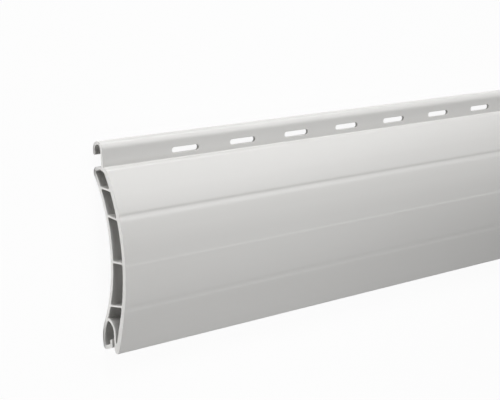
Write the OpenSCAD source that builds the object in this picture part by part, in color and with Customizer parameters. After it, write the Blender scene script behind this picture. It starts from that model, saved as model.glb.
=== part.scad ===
// Hollow-chamber roller shutter slat, one extruded length of rigid plastic.
// It lies on its hollow back with the bowed front face up: X runs along the slat,
// +Y points to the hook and +Z to the front face. All sizes are in millimetres.
// In the section, w is measured from the bottom of the nose towards the hook
// and h from the floor towards the front face.

/* [Slat] */
// Length of the slat
slat_length = 1000; // [300:10:3000]
// Cover width, from the bottom of the nose to the shoulder
cover_w = 52; // [48:0.5:56]
// Depth over the crown of the front face
depth = 14; // [13:0.25:15]

/* [Walls] */
// Wall of the front face
front_wall = 1.6; // [1:0.05:1.8]
// Wall of the back, of the receiver and of its lip
back_wall = 1.15; // [0.8:0.05:1.2]
// Wall of the shoulder on top of the first chamber, beside the chamber's ridge
shoulder_wall = 1.1; // [1:0.05:1.4]
// Rise of the ridge in the top of the first chamber
ridge_rise = 0.6; // [0.2:0.05:0.7]
// Height of that ridge over the floor
ridge_h = 3.3; // [3.1:0.05:3.4]
// Distance from the ridge to the foot of its slopes
ridge_run = 1.7; // [1:0.05:1.8]
// Wall of the webs between the chambers
web_wall = 0.55; // [0.4:0.05:0.9]
// Wall of the curved web round the receiver
roof_wall = 0.85; // [0.4:0.05:0.9]

/* [Front and back] */
// Height of the front face's crown over the ends of its arc
face_bow = 7.4; // [6.8:0.1:8]
// Distance from the nose at which the front face turns straight
flank_w = 10.5; // [8:0.25:12]
// Height of the solid nose at the foot of the front face
nose_w = 3.1; // [2:0.1:4]
// Radius between the front face and the shoulder
front_shoulder_r = 2; // [1.5:0.1:2.5]
// Radius between the back and the shoulder
back_shoulder_r = 1.6; // [1.3:0.1:2.2]
// Radius in the corners of the chambers
corner_r = 0.4; // [0.2:0.05:0.6]
// Height of the hollow under the back
back_rise = 6.5; // [6:0.1:7]
// Distance from the nose to the line on which the receiver rests
seat_w = 2.8; // [2.4:0.1:3.2]
// Outer radius of the receiver's back
seat_r = 11.2; // [10:0.2:13]

/* [Webs and sink marks] */
// Distance of web 1 from the nose
web_1_w = 46.3; // [44:0.1:47]
// Distance of web 2 from the nose
web_2_w = 38.75; // [36:0.05:42]
// Distance of web 3 from the nose
web_3_w = 26.45; // [22:0.05:30]
// Distance of web 4 from the nose
web_4_w = 13.85; // [12.5:0.05:18]
// Lean of web 1: how far its front lies nearer to the shoulder than its back
lean_1 = -0.3; // [-0.6:0.05:0.6]
// Lean of web 2
lean_2 = -0.45; // [-0.8:0.05:0.8]
// Lean of web 3
lean_3 = 0.15; // [-0.8:0.05:0.8]
// Lean of web 4
lean_4 = 0.65; // [-0.8:0.05:0.8]
// Depth of the sink mark over web 2
sink_2 = 0.12; // [0.04:0.02:0.3]
// Distance by which that mark lies nearer to the shoulder than web 2
sink_2_up = 0.9; // [0:0.1:2]
// Depth of the sink mark over web 3
sink_3 = 0.06; // [0.04:0.02:0.3]
// Depth of the sink mark over web 4
sink_4 = 0.06; // [0.04:0.02:0.3]
// Radius of the sink marks' hollow
sink_r = 3.6; // [1:0.1:6]

/* [Tongue and hook] */
// Height of the tongue and hook over the shoulder
head_w = 7.2; // [6.8:0.1:8]
// Radius between the tongue and the shoulder
root_r = 0.3; // [0.2:0.05:0.3]
// Thickness of the tongue
tongue_t = 1; // [0.7:0.05:1.1]
// Height of the tongue's middle over the floor
tongue_h = 4.6; // [4.4:0.05:4.9]
// Depth over the hook
hook_d = 4.75; // [4.4:0.05:4.9]
// Wall of the hook's leg and crown
hook_wall = 0.9; // [0.7:0.05:1.1]
// Straight length of the hook's leg
leg_w = 1.1; // [0.6:0.1:1.4]

/* [Slots] */
// Distance from slot to slot
slot_pitch = 20.55; // [15:0.05:30]
// Length of a slot
slot_l = 9.2; // [5:0.1:12]
// Width of a slot
slot_w = 1.6; // [1.2:0.1:2]
// Distance from the shoulder to the middle of the slots
slot_rise = 2.3; // [1.9:0.05:2.5]
// Least distance from a sawn end to the middle of the first slot
slot_margin = 20; // [12:1:40]

/* [Receiver] */
// Clearance of a hook in the receiver
hook_play = 0.15; // [0.1:0.05:0.4]
// Clearance of a tongue in the receiver's mouth
mouth_play = 0.15; // [0.1:0.05:0.4]
// Distance from the nose to the top of the receiver
roof_w = 8.8; // [8.4:0.1:9.4]
// Radius of the receiver's roof
roof_r = 2.9; // [2.6:0.05:3.1]
// Distance of the lip's lowest line above the nose
lip_set = 0.15; // [0:0.05:0.6]
// Radius between the receiver's back and its lip
lip_r = 1.25; // [1.22:0.01:1.6]
// Slope of the lip
lip_slope = 20; // [10:1:28]
// Distance from the nose to the top of the lip's tip
tip_w = 3.6; // [3.2:0.1:4]
// Thickness of the lip's tip
tip_t = 1; // [0.8:0.05:1.2]

/* [Hidden] */
$fn = 180;
// Number of steps in the circles of the front and the back
face_fn = 720;
// Angle from point to point on the small rounded edges
arc_step = 7.5;
// Length by which a cutting shape runs past what it cuts
past = 1;
// Depth by which touching arcs and lines cross, so that they meet at an edge
bite = 0.02;

overall_w = cover_w + head_w;

// Front face: one arc through the nose and shoulder lines, then a straight flank to the nose
front_r = (pow(cover_w / 2, 2) + pow(face_bow, 2)) / (2 * face_bow);
front_c = [cover_w / 2, depth - front_r];
flank_a = 90 + asin((front_c.x - flank_w) / front_r);
flank_p = polar(front_c, front_r - bite, flank_a);
flank_rise = tan(flank_a - 90);
front_shoulder_c = tangent_inside(front_c, front_r + bite, front_shoulder_r, cover_w - front_shoulder_r);
front_shoulder_a = heading(front_c, front_shoulder_c);

// Back: one arc that touches the rounded shoulder and the receiver, which both stand on the floor
back_span = (cover_w - back_shoulder_r - seat_w) / sqrt(back_rise);
back_root = (back_span - 2 * (seat_r - back_shoulder_r) / back_span) / 2;
back_r = (pow(back_root, 2) + back_rise) / 2 - back_shoulder_r;
back_shoulder_c = [cover_w - back_shoulder_r, back_shoulder_r];
back_c = [back_shoulder_c.x - back_root * sqrt(back_rise), back_rise - back_r];
seat_c = [seat_w, seat_r];
seat_a = heading(seat_c, back_c);

// Inside of the front, of its straight flank and of the back
inner_front_r = front_r - front_wall;
inner_back_r = back_r + back_wall;
flank_in = polar(front_c, inner_front_r - bite, flank_a);

// Receiver: deep enough for the hook, with a mouth for the tongue between lip and nose
channel_d = hook_d + hook_play;
mouth = tongue_t + mouth_play;
channel_h = back_wall + channel_d;
lip_end_h = channel_h - mouth;
channel_r = seat_r - back_wall;
roof_c = [roof_w - roof_r, channel_h - roof_r];
roof_p = circles_meet(roof_c, roof_r, seat_c, channel_r);
lip_c = lip_corner(lip_set + lip_r);
lip_a = heading(seat_c, lip_c);
lip_normal_a = 180 - lip_slope;
tip_r = tip_t / 2;
tip_h = lip_end_h - tip_r;
nose_r = nose_radius(flank_p.y - flank_rise * flank_p.x - channel_h);
nose_c = [nose_r, channel_h + nose_r];

// Tongue and hook
tongue_back_h = tongue_h - tongue_t / 2;
tongue_front_h = tongue_h + tongue_t / 2;
hook_r = hook_d / 2;
hook_c = [overall_w - hook_r, tongue_front_h - hook_r];
hook_gap_r = (hook_d - tongue_t - hook_wall) / 2;
hook_gap_c = [hook_c.x, tongue_back_h - hook_gap_r];
leg_h = tongue_front_h - hook_d;
root_w = cover_w - (shoulder_wall - ridge_rise) / 2;
root_c_w = cover_w + root_r - bite;

// Slots: as many as the length holds, centred on it
slot_count = floor((slat_length - 2 * slot_margin) / slot_pitch) + 1;
slot_first = -(slot_count - 1) * slot_pitch / 2;

webs = [web_1_w, web_2_w, web_3_w, web_4_w];
leans = [lean_1, lean_2, lean_3, lean_4];
ridge_w = cover_w - shoulder_wall;
chamber_tops = concat([ridge_w], [for (w = webs) w - web_wall / 2]);
top_leans = concat([0], leans);
sinks = [[web_2_w + sink_2_up, sink_2], [web_3_w, sink_3], [web_4_w, sink_4]];

// Point at a radius and an angle from a centre
function polar(c, r, a) = c + r * [cos(a), sin(a)];

// Angle from 0 to 360 in which one point lies from another
function heading(from, to) = (atan2(to.y - from.y, to.x - from.x) + 360) % 360;

// The same angle from -180 to 180
function signed(a) = a > 180 ? a - 360 : a;

// Points of an arc from one angle to another
function arc(c, r, from, to) =
    let (n = ceil(abs(to - from) / arc_step))
    [for (i = [0:n]) polar(c, r, from + (to - from) * i / n)];

// Centre, at a given w, of a circle that touches a larger one from inside near its top
function tangent_inside(c, big_r, r, w) = [w, c.y + sqrt(pow(big_r - r, 2) - pow(w - c.x, 2))];

// Centre, at a given w, of a circle that touches a larger one from outside near its top
function tangent_outside(c, big_r, r, w) = [w, c.y + sqrt(pow(big_r + r, 2) - pow(w - c.x, 2))];

// Point at which two circles meet, on the right of the line from the first centre to the second
function circles_meet(c1, r1, c2, r2) =
    let (d = norm(c2 - c1))
    polar(c1, r1, heading(c1, c2) - acos((pow(r1, 2) + pow(d, 2) - pow(r2, 2)) / (2 * r1 * d)));

// Centre, at a given w, of the rounded edge between the receiver's back and its lip
function lip_corner(w) = [w, seat_c.y - sqrt(pow(seat_r - lip_r, 2) - pow(w - seat_c.x, 2))];

// Radius that touches the nose's bottom line, the channel and the straight flank
function nose_radius(room) =
    let (c = cos(flank_a - 90))
    room * c / (1 + (1 - flank_rise) * c);

// Position along w at which the straight flank through a point reaches a height
function flank_at(p, h) = p.x + (h - p.y) / flank_rise;

// Height of the straight flank's inside at a distance from the nose
function flank_h(w) = flank_in.y + (w - flank_in.x) * flank_rise;

// Position across the lip of its outer line at a height
function lip_line_w(h) =
    let (p = polar(lip_c, lip_r, lip_normal_a))
    p.x + (h - p.y) * tan(lip_slope);

// Outline of the body with its open receiver, before the large arcs of front and back are cut
module body_outline() {
    polygon(concat(
        arc(front_shoulder_c, front_shoulder_r, 0, front_shoulder_a),
        [[polar(front_c, front_r + bite, front_shoulder_a).x, depth + past]],
        [[flank_at(flank_p, depth + past), depth + past]],
        arc(nose_c, nose_r, flank_a, 270),
        arc(roof_c, roof_r, 90, signed(heading(roof_c, roof_p))),
        arc(seat_c, channel_r, heading(seat_c, roof_p), lip_a),
        arc(lip_c, lip_r - back_wall, lip_a, lip_normal_a),
        [[lip_line_w(lip_end_h - tip_t) + back_wall / cos(lip_slope), lip_end_h - tip_t]],
        arc([tip_w - tip_r, tip_h], tip_r, -90, 90),
        arc([lip_line_w(tip_h) + tip_r / cos(lip_slope), tip_h], tip_r, 90, lip_normal_a),
        arc(lip_c, lip_r, lip_normal_a, lip_a),
        arc(seat_c, seat_r, lip_a, seat_a),
        arc(back_shoulder_c, back_shoulder_r, heading(back_shoulder_c, back_c), 360)
    ));
}

// Everything under an arc round the front face's centre, and beside it where the flank runs straight
module under_face(r) {
    translate(front_c) circle(r, $fn = face_fn);
    translate([-past, -past]) square([flank_w + past, depth + past]);
}

// Everything under the inside of the straight flank, from the solid nose on
module under_flank() {
    polygon([
        [nose_w, 0],
        [cover_w, 0],
        [cover_w, flank_h(cover_w)],
        [nose_w, flank_h(nose_w)]
    ]);
}

// Points of a chamber's upper side at a distance from the nose, with its lean and both corners rounded
function upper_side(w, lean) =
    let (b = tangent_outside(back_c, inner_back_r - bite, corner_r, w - lean / 2 - corner_r))
    let (f = tangent_inside(front_c, inner_front_r + bite, corner_r, w + lean / 2 - corner_r))
    concat(
        [[b.x, 0]],
        arc(b, corner_r, heading(b, back_c), 360),
        arc(f, corner_r, 0, heading(front_c, f)),
        [[f.x, depth]]
    );

// Points of a chamber's lower side at a distance from the nose, with its lean and both corners rounded
function lower_side(w, lean) =
    let (f = tangent_inside(front_c, inner_front_r + bite, corner_r, w + lean / 2 + corner_r))
    let (b = tangent_outside(back_c, inner_back_r - bite, corner_r, w - lean / 2 + corner_r))
    concat(
        [[f.x, depth]],
        arc(f, corner_r, heading(front_c, f), 180),
        arc(b, corner_r, 180, heading(b, back_c)),
        [[b.x, 0]]
    );

// Ridge in the top of the first chamber, under the shoulder
module ridge() {
    polygon([
        [ridge_w - bite, ridge_h - ridge_run],
        [ridge_w - bite, ridge_h + ridge_run],
        [ridge_w + ridge_rise, ridge_h]
    ]);
}

// Chambers between the webs, and the last one between web 4, the flank and the receiver
module chambers() {
    difference() {
        intersection() {
            under_face(inner_front_r);
            union() {
                for (i = [0:len(webs) - 1]) {
                    polygon(concat(
                        upper_side(chamber_tops[i], top_leans[i]),
                        lower_side(webs[i] + web_wall / 2, leans[i])
                    ));
                }
                ridge();
                intersection() {
                    polygon(concat(upper_side(chamber_tops[len(webs)], top_leans[len(webs)]), [[0, depth], [0, 0]]));
                    under_flank();
                }
            }
        }
        translate(back_c) circle(inner_back_r, $fn = face_fn);
        translate(roof_c) circle(roof_r + roof_wall);
        translate([-past, -past]) square([roof_c.x + past, channel_h + roof_wall + past]);
    }
}

// Shallow hollow that a web leaves on the front face
module sink_mark(w, deep) {
    a = acos((w - front_c.x) / front_r);
    translate(polar(front_c, front_r + sink_r - deep, a)) circle(sink_r);
}

// Tongue that rises from the shoulder and bends over into the hook
module head() {
    polygon(concat(
        [[root_w, tongue_back_h - root_r]],
        arc([root_c_w, tongue_back_h - root_r], root_r, 180, 90),
        [[hook_c.x, tongue_back_h]],
        [[hook_c.x, tongue_front_h]],
        arc([root_c_w, tongue_front_h + root_r], root_r, 270, 180),
        [[root_w, tongue_front_h + root_r]]
    ));
    translate([hook_c.x - leg_w, leg_h]) square([leg_w, hook_wall]);
    translate([hook_c.x - leg_w, leg_h + hook_wall / 2]) circle(hook_wall / 2);
    difference() {
        translate(hook_c) circle(hook_r);
        translate(hook_gap_c) circle(hook_gap_r);
        translate([hook_c.x - hook_d, leg_h - past]) square([hook_d, hook_d + 2 * past]);
    }
}

module section() {
    difference() {
        intersection() {
            under_face(front_r);
            body_outline();
        }
        translate(back_c) circle(back_r + bite, $fn = face_fn);
        chambers();
        for (s = sinks) sink_mark(s[0], s[1]);
    }
    head();
}

// Long hole through the tongue
module slot() {
    straight = slot_l - slot_w;
    translate([0, 0, tongue_back_h - past]) linear_extrude(tongue_t + 2 * past) {
        translate([-straight / 2, -slot_w / 2]) square([straight, slot_w]);
        for (side = [-1, 1]) translate([side * straight / 2, 0]) circle(slot_w / 2);
    }
}

module slat() {
    color("gainsboro") difference() {
        translate([-slat_length / 2, -overall_w / 2, 0])
            rotate([90, 0, 90]) linear_extrude(slat_length) section();
        for (i = [0:slot_count - 1]) {
            translate([slot_first + i * slot_pitch, cover_w + slot_rise - overall_w / 2, 0]) slot();
        }
    }
}

slat();
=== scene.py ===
"""Looks of a hollow-chamber roller shutter slat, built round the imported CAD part.

The section is drawn in a plane: w runs across the slat, from the nose to the hook, and h up from the floor.
In the part's frame x runs along the slat, y is w less half the overall width, and z is h. Lengths are in metres.
"""

import math

import bmesh
import bpy
import numpy as np
from mathutils import Matrix, Vector
from mathutils.geometry import delaunay_2d_cdt


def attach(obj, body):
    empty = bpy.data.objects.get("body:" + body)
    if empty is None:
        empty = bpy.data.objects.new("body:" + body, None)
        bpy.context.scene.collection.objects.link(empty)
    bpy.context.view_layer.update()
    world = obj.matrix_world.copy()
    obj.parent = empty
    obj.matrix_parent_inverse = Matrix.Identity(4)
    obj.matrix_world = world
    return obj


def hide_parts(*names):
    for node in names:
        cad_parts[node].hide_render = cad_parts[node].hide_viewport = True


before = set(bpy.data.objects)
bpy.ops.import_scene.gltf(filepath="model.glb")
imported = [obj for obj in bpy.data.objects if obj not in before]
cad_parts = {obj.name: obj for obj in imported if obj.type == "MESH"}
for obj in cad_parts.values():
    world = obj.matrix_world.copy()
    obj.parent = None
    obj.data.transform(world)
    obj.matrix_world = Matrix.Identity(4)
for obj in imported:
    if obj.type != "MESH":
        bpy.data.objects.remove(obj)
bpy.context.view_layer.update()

bl_info = {
    "name": "Roller shutter slat",
    "version": (1, 0, 0),
    "blender": (4, 5, 0),
    "location": "View3D > Sidebar > Slat",
    "description": "Builds an extruded roller shutter slat and a plain studio round it",
    "category": "Object",
}

NODE = "slat"
SLOT = "slat_plastic"
PIECE = "slat_extrusion"
BODY = "root"
SAWN = "sawn"  # attribute that marks the sawn ends

FACE_POINTS = 150  # points over the front face
MARK_POINTS = 21  # points over each slope of a sink mark
MARK_REACH = 2.5  # how far they reach to either side, in widths of the slope
SIDE_POINTS = 20  # points on a chamber's side, between its rounded corners
CHAMBER_STATIONS = 21  # places along the slat at which a chamber has points
SLOT_STEPS = 25  # points round each half of a slot, and across the slotted band
EDGE_STEPS = 4  # points over the rounded edge of a slot
BAND_ROWS = (1, 0.5, 0.15)  # rows of points from the border of a slot's cell, 1, to the slot's edge, 0
BAND_WIDTHS = 1.55  # width of the slotted band, in widths of a slot
CHORD_SAG = 1.5e-6  # greatest distance between an arc and its chords
CHORD_TURN = math.radians(10)  # greatest turn from one chord to the next
SMOOTH_TURN = math.radians(40)  # greatest turn over an edge that is shaded smooth
LEAST_MITRE = 0.8  # least square of the sum of two normals, which keeps sharp corners from running out
FACE_GAP = 2e-5  # least distance of two points across the front face
OUTLINE_GAP = 2e-7  # least distance of two points of an outline
MERGE_GAP = 5e-7  # distance within which points of the mesh are merged
END_GAP = 1e-7  # distance within which points lie on the plane of a sawn end
FILL_GAP = 1e-9  # distance within which points of a sawn end's fill are merged

FLOOR_HALF = 6  # half the side of the square floor
FLOOR_TONES = (0.86, 0.86, 0.86, 1), (0.9, 0.9, 0.9, 1)  # darkest and palest grey of the floor
FLOOR_GRAIN = 300  # scale of the noise between them
SENSOR_MM = 36  # width of the camera's sensor
CLIP = 0.01, 50  # least and greatest distance that the camera sees
NEAR_PART, NEAR_END, FAR_PART = (-0.4, 0, 0), (-0.46, 0, 0), (0.25, 0, 0)  # where lamps aim on the slat

# Each lamp has the name of its power in the panel: its place, its aim, its two sides and its spread in degrees.
LAMPS = {
    "key": ((0.25, 0.74, 0.8), NEAR_PART, (0.6, 0.65), 180),
    "side": ((-0.55, 0.95, 0.8), NEAR_PART, (0.35, 0.35), 180),
    "strip": ((-0.2, 1, 0.12), (-0.3, 0, 0.01), (1.2, 0.2), 180),
    "fill": ((0.15, -0.45, 0.8), NEAR_PART, (0.35, 0.35), 180),
    "near_back": ((-0.46, 0.12, 0.22), NEAR_END, (0.1, 0.1), 180),
    "near_front": ((-0.48, -0.14, 0.185), NEAR_END, (0.1, 0.1), 180),
    "far": ((0.25, -0.1, 0.5), FAR_PART, (0.6, 0.3), 60),
    "table": ((-0.5487, 0.02, 0.0005), (-0.5487, 0.02, 1), (0.095, 0.11), 180),
}

MARK = (
    "Sink mark over a web: where it falls and over what width, "
    "where it rises and over what width, and its depth"
)


def length(name, mm, description):
    """A length property whose default is given in millimetres."""
    return bpy.props.FloatProperty(
        name=name, description=description, default=mm / 1000, precision=5, unit="LENGTH", subtype="DISTANCE"
    )


def lengths(name, mm, description):
    """A row of lengths whose defaults are given in millimetres."""
    return bpy.props.FloatVectorProperty(
        name=name,
        description=description,
        default=[v / 1000 for v in mm],
        size=len(mm),
        precision=5,
        unit="LENGTH",
    )


def share(name, default, description):
    """A plain number property."""
    return bpy.props.FloatProperty(name=name, description=description, default=default, precision=4)


class SlatBody(bpy.types.PropertyGroup):
    """Sizes of the body of the section."""

    long: length("Length", 1000, "Length of the slat")
    cover: length("Cover width", 52, "From the bottom of the nose to the shoulder")
    depth: length("Depth", 14, "From the floor to the crown of the front face")
    front_wall: length("Front wall", 1.6, "Wall of the front face")
    back_wall: length("Back wall", 1.15, "Wall of the back, the receiver and its lip")
    shoulder_wall: length("Shoulder wall", 1.1, "Wall on top of the first chamber, beside its ridge")
    ridge_rise: length("Ridge rise", 0.6, "Rise of the ridge in the top of the first chamber")
    ridge_h: length("Ridge height", 3.3, "Height of that ridge over the floor")
    ridge_run: length("Ridge run", 1.7, "Distance from the ridge to the foot of its slopes")
    web_wall: length("Web wall", 0.55, "Wall of the webs")
    roof_wall: length("Roof wall", 0.85, "Wall of the curved web round the receiver")
    face_bow: length("Face bow", 7.4, "Height of the crown over the ends of the front arc")
    flank: length("Flank", 10.5, "Distance from the nose at which the front face turns straight")
    bow: length("Flank bow", 0.2, "Greatest bow of the flank over its straight line")
    bow_from: length("Bow from", 18, "Distance from the nose at which that bow begins")
    nose: length("Nose", 3.1, "Height of the solid nose at the foot of the front face")
    front_shoulder: length("Front shoulder radius", 2, "Radius between front face and shoulder")
    back_shoulder: length("Back shoulder radius", 1.6, "Radius between back and shoulder")
    corner: length("Chamber corner radius", 0.4, "Radius in the corners of the chambers")
    back_rise: length("Back rise", 6.5, "Height of the hollow under the back")
    webs: lengths("Webs", (46.3, 38.75, 26.45, 13.85), "Distance of the webs from the nose")
    leans: lengths("Leans", (-0.3, -0.45, 0.15, 0.65), "Rise of each web from the back to the front")
    sink_2: lengths("Sink 2", (39.85, 0.28, 38.7, 0.65, 0.17), MARK)
    sink_3: lengths("Sink 3", (30, 2.2, 26.15, 0.3, 0.09), MARK)
    sink_4: lengths("Sink 4", (14.4, 0.5, 13.15, 0.4, 0.08), MARK)
    seat: length("Seat", 2.8, "Distance from the nose to the line on which the receiver rests")
    seat_r: length("Seat radius", 11.2, "Outer radius of the receiver's back")
    rim: length("Sawn rim", 0.04, "Width by which the edges round the sawn ends are broken")


class SlatJoint(bpy.types.PropertyGroup):
    """Sizes of the tongue, the hook, the slots and the receiver."""

    head: length("Head", 7.2, "Height of tongue and hook over the shoulder")
    root: length("Root radius", 0.3, "Radius between the tongue and the shoulder")
    tongue: length("Tongue", 1, "Thickness of the tongue")
    tongue_h: length("Tongue height", 4.6, "Height of the tongue's middle over the floor")
    hook: length("Hook depth", 4.75, "Depth over the hook")
    hook_wall: length("Hook wall", 0.9, "Wall of the hook's leg")
    leg: length("Leg", 1.1, "Straight length of the hook's leg")
    pitch: length("Slot pitch", 20.55, "Distance from slot to slot")
    slot_long: length("Slot length", 9.2, "Length of a slot")
    slot_wide: length("Slot width", 1.6, "Width of a slot")
    slot_rise: length("Slot rise", 2.3, "Distance from the shoulder to the middle of the slots")
    slot_margin: length("Slot margin", 20, "Least distance from an end to the middle of the first slot")
    slot_edge: length("Slot edge", 0.12, "Rounding of the slots' edges")
    hook_play: length("Hook play", 0.15, "Clearance of a hook in the receiver")
    mouth_play: length("Mouth play", 0.15, "Clearance of a tongue in the receiver's mouth")
    roof_w: length("Receiver height", 8.8, "Distance from the nose to the top of the receiver")
    roof_r: length("Roof radius", 2.9, "Radius of the receiver's roof")
    lip_set: length("Lip set", 0.15, "Distance of the lip's lowest line above the nose")
    lip_r: length("Lip radius", 1.25, "Radius between the receiver's back and its lip")
    lip_slope: bpy.props.FloatProperty(
        name="Lip slope",
        description="Slope of the lip",
        default=math.radians(20),
        unit="ROTATION",
        subtype="ANGLE",
    )
    tip_w: length("Tip", 3.6, "Distance from the nose to the top of the lip's tip")
    tip: length("Tip thickness", 1, "Thickness of the lip's tip")


class SlatFinish(bpy.types.PropertyGroup):
    """Colour and surface of the extruded plastic."""

    colour: bpy.props.FloatVectorProperty(
        name="Colour",
        description="Colour of the plastic",
        default=(0.665, 0.659, 0.6435),
        size=3,
        subtype="COLOR",
    )
    rough: share("Roughness", 0.3, "Roughness of the extruded skin")
    sawn_pale: share("Sawn paleness", 0.24, "By how much the sawn ends are paler than the skin")
    sawn_rough: share("Sawn roughness", 0.8, "Roughness of the sawn ends")
    streak: share("Streaks", 0.02, "Strength of the die's streaks in the colour")
    cloud: share("Clouding", 0.03, "Strength of the broad changes of colour")
    saw_mark: share("Saw marks", 0.03, "Strength of the saw's marks in the colour of the ends")
    skin: share("Skin", 0.06, "Strength of the fine skin in the roughness")
    streak_relief: share("Streak relief", 0.6, "Share of the streaks in the bump, whose rest is the fine skin")
    relief: length("Relief", 0.04, "Height of the bump")
    bump: share("Bump", 0.25, "Strength of the bump")
    ior: share("Index of refraction", 1.53, "Index of refraction of the plastic")


class SlatStage(bpy.types.PropertyGroup):
    """Camera, lights and floor of the plain studio."""

    focal: share("Focal length", 89.28, "Focal length in millimetres on a 36 mm sensor")
    eye: bpy.props.FloatVectorProperty(
        name="Eye",
        description="Place of the camera",
        default=(-0.67113, 0.07449, 0.29207),
        size=3,
        unit="LENGTH",
    )
    ahead: bpy.props.FloatVectorProperty(
        name="Ahead",
        description="Direction in which the camera looks",
        default=(0.59964, -0.18413, -0.77880),
        size=3,
    )
    up: bpy.props.FloatVectorProperty(
        name="Up",
        description="Direction that is up in the picture",
        default=(0.13830, 0.98237, -0.12577),
        size=3,
    )
    ambient: share("Ambient", 0.02, "Strength of the even light from all round")
    key: share("Key light", 3.25, "Power of the large light beyond the hook")
    side: share("Side light", 5.4, "Power of the light beyond the hook at the near end")
    strip: share("Strip light", 4.9, "Power of the low strip light beyond the hook")
    fill: share("Fill light", 0.26, "Power of the light beyond the nose")
    near_back: share("Near light, hook side", 0.079, "Power of the close light by the hook at the near end")
    near_front: share("Near light, nose side", 0.155, "Power of the close light by the nose at the near end")
    far: share("Far light", 0.3, "Power of the light over the far half")
    table: share("Table light", 0.035, "Power of the light that lies on the floor before the sawn end")
    floor: share("Floor", 0.95, "Share of plain white in the floor as the camera sees it")


def polar(centre, r, a):
    """Points centre + r (cos a, sin a) for all the angles a."""
    return np.asarray(centre) + r * np.stack([np.cos(a), np.sin(a)], -1)


def heading(a, b):
    """Angle from 0 to a full turn in which point b lies from point a."""
    return math.atan2(b[1] - a[1], b[0] - a[0]) % math.tau


def arc(centre, r, a, b):
    """Points centre + r (cos t, sin t) for t from a to b, in even steps within CHORD_SAG and CHORD_TURN."""
    step = min(CHORD_TURN, 2 * math.sqrt(2 * CHORD_SAG / r))
    return polar(centre, r, np.linspace(a, b, 2 + math.ceil(abs(b - a) / step)))


def chain(*parts):
    """Joins runs of points and leaves out those that repeat the one before."""
    points = np.concatenate([np.atleast_2d(p) for p in parts])
    gap = np.linalg.norm(points - np.roll(points, 1, 0), axis=1)
    return points[gap > OUTLINE_GAP]


def offset(loop, by):
    """A closed loop moved to the right of its own direction: p + by n, with n from both neighbours."""
    ahead, behind = np.roll(loop, -1, 0) - loop, loop - np.roll(loop, 1, 0)
    n = [np.stack([d[:, 1], -d[:, 0]], -1) / np.linalg.norm(d, axis=1)[:, None] for d in (ahead, behind)]
    middle = n[0] + n[1]
    return loop + by * 2 * middle / np.maximum((middle**2).sum(1), LEAST_MITRE)[:, None]


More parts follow.
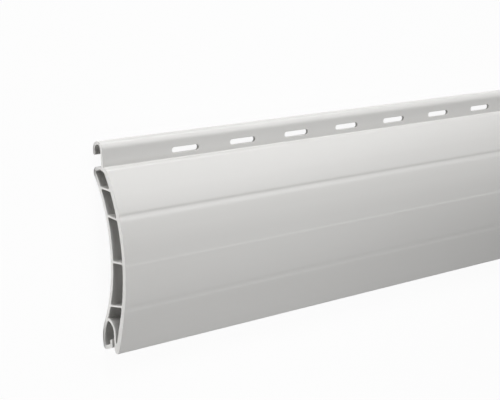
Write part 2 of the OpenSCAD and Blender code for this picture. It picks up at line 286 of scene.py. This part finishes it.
class Section:
    """The closed outlines of the section, from the sizes in the panel.

    skin_a runs counter-clockwise round the body, and skin_b round the hook. The slotted band of the tongue joins
    them. chambers run clockwise, so that the plastic is on the left of every outline.
    """

    def __init__(self, body, joint):
        self.body, self.joint = body, joint
        self.wide = body.cover + joint.head
        self.front()
        self.back()
        self.receiver()
        self.hook()
        self.skin_a, self.skin_b = self.body_run(), self.hook_run()
        self.chambers = [loop[::-1] for loop in (*self.cells(), self.pocket())]

    def front(self):
        """Front face: R = (b^2 + s^2) / 2b from its bow b and half its span s, then a flank on the tangent."""
        b = self.body
        self.front_r = ((b.cover / 2) ** 2 + b.face_bow**2) / (2 * b.face_bow)
        self.front_c = np.array([b.cover / 2, b.depth - self.front_r])
        self.flank_a = math.pi / 2 + math.asin((self.front_c[0] - b.flank) / self.front_r)
        self.flank_t = math.tan(self.flank_a - math.pi / 2)
        self.flank_p = polar(self.front_c, self.front_r, self.flank_a)
        r = b.front_shoulder
        w = b.cover - r
        rise = math.sqrt((self.front_r - r) ** 2 - (w - self.front_c[0]) ** 2)
        self.fs_c = np.array([w, self.front_c[1] + rise])

    def back(self):
        """Back: the arc with its crown at back_rise that touches the rounds of shoulder and seat on the floor."""
        b = self.body
        span = (b.cover - b.back_shoulder - b.seat) / math.sqrt(b.back_rise)
        root = (span - 2 * (b.seat_r - b.back_shoulder) / span) / 2
        self.back_r = (root**2 + b.back_rise) / 2 - b.back_shoulder
        self.bs_c = np.array([b.cover - b.back_shoulder, b.back_shoulder])
        self.back_c = np.array([self.bs_c[0] - root * math.sqrt(b.back_rise), b.back_rise - self.back_r])
        self.seat_c = np.array([b.seat, b.seat_r])

    def receiver(self):
        """Receiver: as deep as the hook and its play, with a mouth as wide as the tongue and its play."""
        b, j = self.body, self.joint
        self.channel_h = b.back_wall + j.hook + j.hook_play
        self.lip_end = self.channel_h - j.tongue - j.mouth_play
        self.channel_r = b.seat_r - b.back_wall
        self.roof_c = np.array([j.roof_w - j.roof_r, self.channel_h - j.roof_r])
        d = np.linalg.norm(self.seat_c - self.roof_c)
        turn = math.acos((j.roof_r**2 + d**2 - self.channel_r**2) / (2 * j.roof_r * d))
        self.roof_p = polar(self.roof_c, j.roof_r, heading(self.roof_c, self.seat_c) - turn)
        w = j.lip_set + j.lip_r
        self.lip_c = np.array([w, b.seat_r - math.sqrt((b.seat_r - j.lip_r) ** 2 - (w - b.seat) ** 2)])
        room = self.flank_p[1] - self.flank_t * self.flank_p[0] - self.channel_h
        c = math.cos(self.flank_a - math.pi / 2)
        self.nose_r = room * c / (1 + (1 - self.flank_t) * c)
        self.nose_c = np.array([self.nose_r, self.channel_h + self.nose_r])

    def hook(self):
        """Tongue and hook: two arcs round the ends of the tongue and of the leg."""
        j = self.joint
        self.t_back, self.t_front = j.tongue_h - j.tongue / 2, j.tongue_h + j.tongue / 2
        self.hook_c = np.array([self.wide - j.hook / 2, self.t_front - j.hook / 2])
        self.gap_r = (j.hook - j.tongue - j.hook_wall) / 2
        self.gap_c = np.array([self.hook_c[0], self.t_back - self.gap_r])
        self.leg_h = self.t_front - j.hook
        self.slot_w = self.body.cover + j.slot_rise
        half = BAND_WIDTHS * j.slot_wide / 2
        self.band = self.slot_w - half, self.slot_w + half

    def across(self):
        """Places of the points across the slotted band."""
        return np.linspace(*self.band, SLOT_STEPS)

    def face(self):
        """Front face, from the shoulder to the nose: P(w) = B(w) + (bow - dip) n(w), on the arc and its flank B.

        bow = b 27/4 s^2 (1 - s), with s from 0 at bow_from to 1 at the nose, rounds the flank.
        dip = sum of d (S((wf - w) / sf) - S((wr - w) / sr)), with the smooth step S(t) = (1 + tanh t) / 2, is
        the webs' sink marks: a mark of depth d falls at wf, over the width sf, and rises again at wr, over sr.
        """
        b = self.body
        marks = [np.array(m) for m in (b.sink_2, b.sink_3, b.sink_4)]
        top = polar(self.front_c, self.front_r, heading(self.front_c, self.fs_c))[0]
        nose = polar(self.nose_c, self.nose_r, self.flank_a)[0]
        slopes = [slope for m in marks for slope in (m[:2], m[2:4])]
        close = [np.linspace(c - MARK_REACH * s, c + MARK_REACH * s, MARK_POINTS) for c, s in slopes]
        w = np.unique(np.concatenate([np.linspace(nose, top, FACE_POINTS), *close]))
        w = w[np.append(True, np.diff(w) > FACE_GAP)][::-1]
        a = np.arccos((np.maximum(w, self.flank_p[0]) - self.front_c[0]) / self.front_r)
        base = polar(self.front_c, self.front_r, a)
        base += (w - base[:, 0])[:, None] * np.array([1, self.flank_t])
        s = np.clip((b.bow_from - w) / (b.bow_from - nose), 0, 1)
        bow = b.bow * 27 / 4 * s**2 * (1 - s)
        dip = sum(m[4] / 2 * (np.tanh((m[0] - w) / m[1]) - np.tanh((m[2] - w) / m[3])) for m in marks)
        return base + (bow - dip)[:, None] * polar((0, 0), 1, a)

    def body_run(self):
        """Outline from the tongue's front round the front face, the receiver and the back to the tongue's back."""
        b, j = self.body, self.joint
        half, quarter = math.pi, math.pi / 2
        root_w = b.cover + j.root
        lip_n = half - j.lip_slope
        lip_a = heading(self.seat_c, self.lip_c)
        lip_p = polar(self.lip_c, j.lip_r, lip_n)
        tip_r = j.tip / 2
        tip_h = self.lip_end - tip_r
        slant, lean = math.tan(j.lip_slope), math.cos(j.lip_slope)
        inner_lip = lip_p[0] + (self.lip_end - j.tip - lip_p[1]) * slant + b.back_wall / lean
        outer_lip = lip_p[0] + (tip_h - lip_p[1]) * slant + tip_r / lean
        roof_end = heading(self.roof_c, self.roof_p)
        return chain(
            [self.band[0], self.t_front],
            [(self.band[0] + root_w) / 2, self.t_front],
            arc((root_w, self.t_front + j.root), j.root, 3 * quarter, half),
            arc(self.fs_c, b.front_shoulder, 0, heading(self.front_c, self.fs_c)),
            self.face(),
            arc(self.nose_c, self.nose_r, self.flank_a, 3 * quarter),
            arc(self.roof_c, j.roof_r, quarter, roof_end if roof_end < half else roof_end - math.tau),
            arc(self.seat_c, self.channel_r, heading(self.seat_c, self.roof_p), lip_a),
            arc(self.lip_c, j.lip_r - b.back_wall, lip_a, lip_n),
            [inner_lip, self.lip_end - j.tip],
            arc((j.tip_w - tip_r, tip_h), tip_r, -quarter, quarter),
            arc((outer_lip, tip_h), tip_r, quarter, lip_n),
            arc(self.lip_c, j.lip_r, lip_n, lip_a),
            arc(self.seat_c, b.seat_r, lip_a, heading(self.seat_c, self.back_c)),
            arc(self.back_c, self.back_r, heading(self.back_c, self.seat_c), heading(self.back_c, self.bs_c)),
            arc(self.bs_c, b.back_shoulder, heading(self.bs_c, self.back_c), math.tau),
            arc((root_w, self.t_back - j.root), j.root, half, quarter),
            [(self.band[0] + root_w) / 2, self.t_back],
            [self.band[0], self.t_back],
        )

    def hook_run(self):
        """Outline from the back of the tongue round the hook to the front of the tongue."""
        j, quarter = self.joint, math.pi / 2
        leg_w, near = self.hook_c[0] - j.leg, (self.band[1] + self.hook_c[0]) / 2
        return chain(
            [self.band[1], self.t_back],
            [near, self.t_back],
            arc(self.gap_c, self.gap_r, quarter, -quarter),
            arc((leg_w, self.leg_h + j.hook_wall / 2), j.hook_wall / 2, quarter, 3 * quarter),
            arc(self.hook_c, j.hook / 2, -quarter, quarter),
            [near, self.t_front],
            [self.band[1], self.t_front],
        )

    def side(self, w, up, lean, ridge=0.0):
        """One side of a chamber at w, from back to front, with rounded corners; up is 1 on its upper side.

        ridge is the rise of the ridge on it: w + ridge (1 - |h - ridge_h| / ridge_run), where that is over w.
        """
        b = self.body
        r = b.corner
        back, front = w - lean / 2 - up * r, w + lean / 2 - up * r
        outer, inner = self.back_r + b.back_wall + r, self.front_r - b.front_wall - r
        low = np.array([back, self.back_c[1] + math.sqrt(outer**2 - (back - self.back_c[0]) ** 2)])
        high = np.array([front, self.front_c[1] + math.sqrt(inner**2 - (front - self.front_c[0]) ** 2)])
        end = math.tau if up > 0 else math.pi
        start = 0 if up > 0 else math.pi
        lower = arc(low, r, heading(low, self.back_c), end)
        upper = arc(high, r, start, heading(self.front_c, high))
        t = np.linspace(0, 1, SIDE_POINTS + 2)[1:-1, None]
        between = lower[-1] * (1 - t) + upper[0] * t
        between[:, 0] += ridge * np.clip(1 - np.abs(between[:, 1] - b.ridge_h) / b.ridge_run, 0, 1)
        return np.concatenate([lower, between, upper])

    def wall_arc(self, centre, r, a, b):
        """Arc from the direction of point a to that of point b, without its ends."""
        return arc(centre, r, heading(centre, a), heading(centre, b))[1:-1]

    def cells(self):
        """The four chambers between the shoulder and web 4, counter-clockwise."""
        b = self.body
        webs, leans, half = np.array(b.webs), np.array(b.leans), b.web_wall / 2
        uppers = [self.side(b.cover - b.shoulder_wall, 1, 0, b.ridge_rise)]
        uppers += [self.side(w - half, 1, lean) for w, lean in zip(webs[:-1], leans)]
        for up, w, lean in zip(uppers, webs, leans):
            down = self.side(w + half, -1, lean)[::-1]
            front = self.wall_arc(self.front_c, self.front_r - b.front_wall, up[-1], down[0])
            back = self.wall_arc(self.back_c, self.back_r + b.back_wall, down[-1], up[0])
            yield chain(up, front, down, back)

    def pocket(self):
        """The last chamber, between web 4, the flank and the receiver, counter-clockwise."""
        b, j = self.body, self.joint
        inner, r = self.front_r - b.front_wall, j.roof_r + b.roof_wall
        flank = polar(self.front_c, inner, self.flank_a)
        up = self.side(b.webs[-1] - b.web_wall / 2, 1, b.leans[-1])
        foot = np.array([b.nose, flank[1] + (b.nose - flank[0]) * self.flank_t])
        back_r = self.back_r + b.back_wall
        d = np.linalg.norm(self.back_c - self.roof_c)
        turn = math.acos((r**2 + d**2 - back_r**2) / (2 * r * d))
        meet = polar(self.roof_c, r, heading(self.roof_c, self.back_c) + turn)
        a = heading(self.roof_c, meet)
        return chain(
            up,
            self.wall_arc(self.front_c, inner, up[-1], flank),
            flank,
            foot,
            [b.nose, self.channel_h + b.roof_wall],
            arc(self.roof_c, r, math.pi / 2, a if a < math.pi else a - math.tau),
            self.wall_arc(self.back_c, back_r, meet, up[0]),
        )


class Builder:
    """Collects grids of points as quads and flat fills as triangles, for one mesh."""

    def __init__(self):
        self.points, self.faces, self.count = [], [], 0

    def add(self, points, faces):
        """Takes points and the faces that count them from 0."""
        self.points.append(points.reshape(-1, 3))
        self.faces += (faces + self.count).tolist()
        self.count += len(self.points[-1])

    def grid(self, points, closed):
        """Quads on a grid of points [i, j]; closed joins its last row to its first."""
        n, m = points.shape[:2]
        i, j = np.meshgrid(np.arange(n if closed else n - 1), np.arange(m - 1), indexing="ij")
        k = (i + 1) % n
        faces = np.stack([i * m + j, k * m + j, k * m + j + 1, i * m + j + 1], -1)
        self.add(points, faces.reshape(-1, 4))

    def fill(self, loops, x, flip):
        """A flat sawn end: the Delaunay triangles whose middle has an odd number of loop crossings beyond it."""
        points = np.concatenate(loops)
        after = np.concatenate([np.roll(loop, -1, 0) for loop in loops])
        order = np.split(np.arange(len(points)), np.cumsum([len(loop) for loop in loops])[:-1])
        edges = np.concatenate([np.stack([i, np.roll(i, -1)], -1) for i in order])
        corners, _, faces, *_ = delaunay_2d_cdt(points.tolist(), edges.tolist(), [], 0, FILL_GAP)
        corners, faces = np.array(corners), np.array(faces)
        w, h = corners[faces].mean(1)[..., None].swapaxes(0, 1)
        rise = np.where(after[:, 1] == points[:, 1], 1, after[:, 1] - points[:, 1])
        crossed = (points[:, 1] > h) != (after[:, 1] > h)
        beyond = points[:, 0] + (after[:, 0] - points[:, 0]) * (h - points[:, 1]) / rise > w
        faces = faces[(crossed & beyond).sum(1) % 2 == 1]
        self.add(np.column_stack([np.full(len(corners), x), corners]), faces[:, ::-1] if flip else faces)

    def mesh(self, name, shift, end):
        """The closed mesh: w turned into y, doubles merged, shaded smooth but for edges over SMOOTH_TURN.

        Its attribute SAWN is 1 on the end planes x = -end and x = end, and 0 elsewhere.
        """
        mesh = bpy.data.meshes.new(name)
        points = np.concatenate(self.points) - np.array([0, shift, 0])
        mesh.from_pydata(points, [], self.faces)
        sawn = end - np.abs(points[:, 0]) < END_GAP
        mesh.attributes.new(SAWN, "FLOAT", "POINT").data.foreach_set("value", sawn.astype(float))
        joined = bmesh.new()
        joined.from_mesh(mesh)
        bmesh.ops.remove_doubles(joined, verts=joined.verts, dist=MERGE_GAP)
        joined.to_mesh(mesh)
        joined.free()
        mesh.shade_smooth()
        mesh.set_sharp_from_angle(angle=SMOOTH_TURN)
        return mesh


def carried(loop, stations):
    """A loop of points carried along x: P(i, j) = (x_j, w_i, h_i)."""
    flat = np.broadcast_to(loop[:, None], (len(loop), len(stations), 2))
    return np.dstack([np.broadcast_to(stations, flat.shape[:2])[..., None], flat])


def rim(loop, x, r, side):
    """Broken sawn edge: P(i, t) = (x - side r (1 - t), loop offset by -r t), t = 0 on the skin, 1 on the end."""
    outer = np.column_stack([np.full(len(loop), x - side * r), loop])
    inner = np.column_stack([np.full(len(loop), x), offset(loop, -r)])
    return np.stack([outer, inner] if side > 0 else [inner, outer], 1)


def slot_cell(section, joint):
    """One pitch of the slotted band, a grid P(s, u) from its border on the front through the slot to the back.

    s runs round the slot: H(s) = (+-l, 0) + r n(s), with its normal n, half its straight length l and radius r.
    u runs over plain rows E + q (R - E) between the rounded edge E = H + e n and the cell's border R, then over
    rounded rows H + e (1 - sin t) n at the depth e (1 - cos t) under the face, and then back on the other side.
    """
    r, straight = joint.slot_wide / 2, (joint.slot_long - joint.slot_wide) / 2
    a = np.linspace(-math.pi / 2, math.pi / 2, SLOT_STEPS)
    normal = np.stack([np.cos(a), np.sin(a)], -1)
    side = np.stack([np.full(SLOT_STEPS, joint.pitch / 2), section.across() - section.slot_w], -1)
    n, border = np.concatenate([normal, -normal]), np.concatenate([side, -side])
    hole = r * n + np.repeat([[straight, 0], [-straight, 0]], SLOT_STEPS, 0)
    e, t = joint.slot_edge, np.linspace(0, math.pi / 2, EDGE_STEPS)
    q = np.array(BAND_ROWS)[:, None, None]
    plain = hole + e * n + q * (border - hole - e * n)
    rounded = hole + (e * (1 - np.sin(t)))[:, None, None] * n
    flat = np.concatenate([plain, rounded, rounded[::-1], plain[::-1]])
    down = np.concatenate([np.zeros(len(BAND_ROWS)), e * (1 - np.cos(t))])
    z = section.t_front - np.concatenate([down, joint.tongue - down[::-1]])
    rows = np.dstack([flat + np.array([0, section.slot_w]), np.broadcast_to(z[:, None], flat.shape[:2])])
    return rows.swapaxes(0, 1)


def slat_mesh(body, joint):
    """The slat: both ends as closed skins, the middle as two skins with the slotted band, and the chambers."""
    section, made = Section(body, joint), Builder()
    end = body.long / 2
    count = math.floor((body.long - 2 * joint.slot_margin) / joint.pitch) + 1
    middle = count * joint.pitch / 2
    across = section.across()[1:-1]
    front, back = (np.stack([across, np.full(len(across), h)], -1) for h in (section.t_front, section.t_back))
    loop = np.concatenate([section.skin_a, back, section.skin_b, front[::-1]])
    stations = np.linspace(-middle, middle, count + 1)
    made.grid(carried(section.skin_a, stations), False)
    made.grid(carried(section.skin_b, stations), False)
    for side in (-1, 1):
        made.grid(carried(loop, np.sort([side * middle, side * (end - body.rim)])), True)
        made.grid(rim(loop, side * end, body.rim, side), True)
        made.fill([offset(x, -body.rim) for x in (loop, *section.chambers)], side * end, side < 0)
    for chamber in section.chambers:
        inner = carried(chamber, np.linspace(-end + body.rim, end - body.rim, CHAMBER_STATIONS))
        near, far = (rim(chamber, side * end, body.rim, side) for side in (-1, 1))
        made.grid(np.concatenate([near[:, :-1], inner, far[:, 1:]], 1), True)
    cell = slot_cell(section, joint)
    for x in (stations[:-1] + stations[1:]) / 2:
        made.grid(cell + np.array([x, 0, 0]), True)
    return made.mesh(PIECE, section.wide / 2, end)


class Wire:
    """An output socket of a node tree, on which arithmetic makes Math nodes."""

    def __init__(self, tree, socket=None):
        self.tree, self.socket = tree, socket

    def node(self, kind, output=0, inputs=None, **settings):
        """Makes any node, sets its values, links its inputs and returns one of its outputs, if it has one."""
        made = self.tree.nodes.new(kind)
        for name, value in settings.items():
            setattr(made, name, value)
        for name, value in (inputs or {}).items():
            if isinstance(value, Wire):
                self.tree.links.new(value.socket, made.inputs[name])
            else:
                made.inputs[name].default_value = value
        return Wire(self.tree, made.outputs[output] if len(made.outputs) else None)

    def math(self, operation, a, b):
        """Makes a Math node from two numbers or wires."""
        return self.node("ShaderNodeMath", inputs={0: a, 1: b}, operation=operation)

    def __add__(self, other):
        return self.math("ADD", self, other)

    def __sub__(self, other):
        return self.math("SUBTRACT", self, other)

    def __rsub__(self, other):
        return self.math("SUBTRACT", other, self)

    def __mul__(self, other):
        return self.math("MULTIPLY", self, other)

    __radd__, __rmul__ = __add__, __mul__


def empty_tree(owner):
    """Turns on the nodes of a material or a world, clears them and returns a wire that makes new ones."""
    owner.use_nodes = True
    owner.node_tree.nodes.clear()
    return Wire(owner.node_tree)


def plastic(finish):
    """Extruded plastic: streaks along the slat, broad clouding, a fine skin, and sawn ends with saw marks.

    The colour is C (1 + sum of strength (noise - 1/2)), because a noise is 1/2 on average.
    """
    material = bpy.data.materials.new(SLOT)
    new = empty_tree(material)
    place = new.node("ShaderNodeTexCoord", "Object")
    sawn = new.node("ShaderNodeAttribute", "Fac", attribute_name=SAWN)

    def noise(scale, detail, stretch=(1, 1, 1)):
        """Noise from 0 to 1 in cells of 1 / scale, with further octaves by detail."""
        at = new.node("ShaderNodeMapping", inputs={"Vector": place, "Scale": stretch})
        return new.node("ShaderNodeTexNoise", "Fac", {"Vector": at, "Scale": scale, "Detail": detail})

    streaks = noise(scale=500, detail=0, stretch=(0.002, 1, 1))
    cloud = noise(scale=14, detail=2)
    skin = noise(scale=2600, detail=2)
    marks = noise(scale=1500, detail=3, stretch=(1, 0.08, 1))
    tone = (streaks - 0.5) * finish.streak + (cloud - 0.5) * finish.cloud
    tone = tone + (marks - 0.5) * sawn * finish.saw_mark + sawn * finish.sawn_pale + 1
    colour = new.node("ShaderNodeVectorMath", inputs={0: finish.colour, "Scale": tone}, operation="SCALE")
    rough = (1 - sawn) * ((skin - 0.5) * finish.skin + finish.rough) + sawn * finish.sawn_rough
    drawn = streaks * finish.streak_relief + skin * (1 - finish.streak_relief)
    height = (1 - sawn) * drawn + sawn * marks
    bump = new.node(
        "ShaderNodeBump",
        inputs={"Strength": finish.bump, "Distance": finish.relief, "Height": height},
    )
    shader = new.node(
        "ShaderNodeBsdfPrincipled",
        inputs={"Base Color": colour, "Roughness": rough, "Normal": bump, "IOR": finish.ior},
    )
    new.node("ShaderNodeOutputMaterial", inputs={"Surface": shader})
    return material


class SLAT_OT_extrusion(bpy.types.Operator):
    """Build the extruded slat in place of its CAD node"""

    bl_idname = "slat.extrusion"
    bl_label = "Build slat"

    def execute(self, context):
        scene = context.scene
        piece = bpy.data.objects.new(PIECE, slat_mesh(scene.slat_body, scene.slat_joint))
        scene.collection.objects.link(piece)
        piece.data.materials.append(plastic(scene.slat_finish))
        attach(piece, BODY)
        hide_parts(NODE)
        return {"FINISHED"}


def area_light(scene, name, power, place, aim, size, spread):
    """A soft rectangular light at a place, turned to a point, with the spread of its beam in degrees."""
    light = bpy.data.lights.new(name, "AREA")
    light.shape, light.energy, light.size, light.size_y = "RECTANGLE", power, *size
    light.spread = math.radians(spread)
    lamp = bpy.data.objects.new(name, light)
    lamp.location = place
    lamp.rotation_euler = (Vector(aim) - Vector(place)).to_track_quat("-Z", "Y").to_euler()
    lamp.visible_camera = False
    scene.collection.objects.link(lamp)


def plain_rays(new):
    """1 for rays that show the plain backdrop: from the camera, reflected or let through."""
    camera, glossy, through = (
        new.node("ShaderNodeLightPath", ray) for ray in ("Is Camera Ray", "Is Glossy Ray", "Is Transmission Ray")
    )
    return camera + glossy + through


class SLAT_OT_stage(bpy.types.Operator):
    """Set up the floor, the light and the camera of the plain studio"""

    bl_idname = "slat.stage"
    bl_label = "Build stage"

    def execute(self, context):
        scene, stage = context.scene, context.scene.slat_stage
        self.floor(scene, stage)
        self.world(scene, stage)
        for name, (place, aim, size, spread) in LAMPS.items():
            area_light(scene, name, getattr(stage, name), place, aim, size, spread)
        self.camera(scene, stage)
        scene.view_settings.view_transform = "Standard"
        return {"FINISHED"}

    def floor(self, scene, stage):
        """A flat square (+-FLOOR_HALF, +-FLOOR_HALF, 0), nearly plain white to the camera but for the shadow."""
        mesh = bpy.data.meshes.new("floor")
        corners = FLOOR_HALF * np.array([(-1, -1, 0), (1, -1, 0), (1, 1, 0), (-1, 1, 0)])
        mesh.from_pydata(corners, [], [(0, 1, 2, 3)])
        floor = bpy.data.objects.new("floor", mesh)
        scene.collection.objects.link(floor)
        material = bpy.data.materials.new("floor")
        new = empty_tree(material)
        seen = plain_rays(new)
        place = new.node("ShaderNodeTexCoord", "Object")
        grain = new.node("ShaderNodeTexNoise", "Fac", {"Vector": place, "Scale": FLOOR_GRAIN})
        dark, pale = FLOOR_TONES
        # A Mix node's sockets for colours are its inputs 6 and 7 and its output 2.
        tone = new.node("ShaderNodeMix", 2, {0: grain, 6: dark, 7: pale}, data_type="RGBA")
        plain = new.node("ShaderNodeBsdfDiffuse", inputs={"Color": tone})
        white = new.node("ShaderNodeEmission", inputs={"Strength": 1.0})
        both = new.node("ShaderNodeMixShader", inputs={0: seen * stage.floor, 1: plain, 2: white})
        new.node("ShaderNodeOutputMaterial", inputs={"Surface": both})
        mesh.materials.append(material)

    def world(self, scene, stage):
        """A backdrop that is plain white to the camera and lights the slat only faintly."""
        world = bpy.data.worlds.new("studio")
        new = empty_tree(world)
        seen = plain_rays(new)
        even = new.node("ShaderNodeBackground", inputs={"Strength": stage.ambient})
        white = new.node("ShaderNodeBackground", inputs={"Color": (1, 1, 1, 1), "Strength": 1.0})
        both = new.node("ShaderNodeMixShader", inputs={0: seen, 1: even, 2: white})
        new.node("ShaderNodeOutputWorld", inputs={"Surface": both})
        scene.world = world

    def camera(self, scene, stage):
        """The camera, turned by its own three axes: right, up and back."""
        back, up = -Vector(stage.ahead).normalized(), Vector(stage.up).normalized()
        right = up.cross(back).normalized()
        camera = bpy.data.cameras.new("camera")
        camera.lens, camera.sensor_width, camera.sensor_fit = stage.focal, SENSOR_MM, "HORIZONTAL"
        camera.clip_start, camera.clip_end = CLIP
        eye = bpy.data.objects.new("camera", camera)
        turned = Matrix((right, back.cross(right), back)).transposed().to_4x4()
        eye.matrix_world = Matrix.Translation(stage.eye) @ turned
        scene.collection.objects.link(eye)
        scene.camera = eye


class SLAT_PT_panel(bpy.types.Panel):
    """Sizes and finish of the slat, and its stage"""

    bl_label = "Roller shutter slat"
    bl_idname = "SLAT_PT_panel"
    bl_space_type = "VIEW_3D"
    bl_region_type = "UI"
    bl_category = "Slat"

    def draw(self, context):
        for name, operator in (
            ("slat_body", None),
            ("slat_joint", None),
            ("slat_finish", SLAT_OT_extrusion.bl_idname),
            ("slat_stage", SLAT_OT_stage.bl_idname),
        ):
            group = getattr(context.scene, name)
            box = self.layout.box()
            for key in group.__annotations__:
                box.prop(group, key)
            if operator:
                box.operator(operator)


GROUPS = {"slat_body": SlatBody, "slat_joint": SlatJoint, "slat_finish": SlatFinish, "slat_stage": SlatStage}
CLASSES = (*GROUPS.values(), SLAT_OT_extrusion, SLAT_OT_stage, SLAT_PT_panel)


def register():
    """Registers the classes and puts the panel's values on the scene."""
    for cls in CLASSES:
        bpy.utils.register_class(cls)
    for name, group in GROUPS.items():
        setattr(bpy.types.Scene, name, bpy.props.PointerProperty(type=group))


def unregister():
    """Takes the values off the scene and the classes out again."""
    for name in GROUPS:
        delattr(bpy.types.Scene, name)
    for cls in reversed(CLASSES):
        bpy.utils.unregister_class(cls)


def main():
    """Builds the slat and its stage."""
    register()
    bpy.ops.slat.extrusion()
    bpy.ops.slat.stage()
    bpy.context.view_layer.update()


if __name__ == "__main__":
    main()
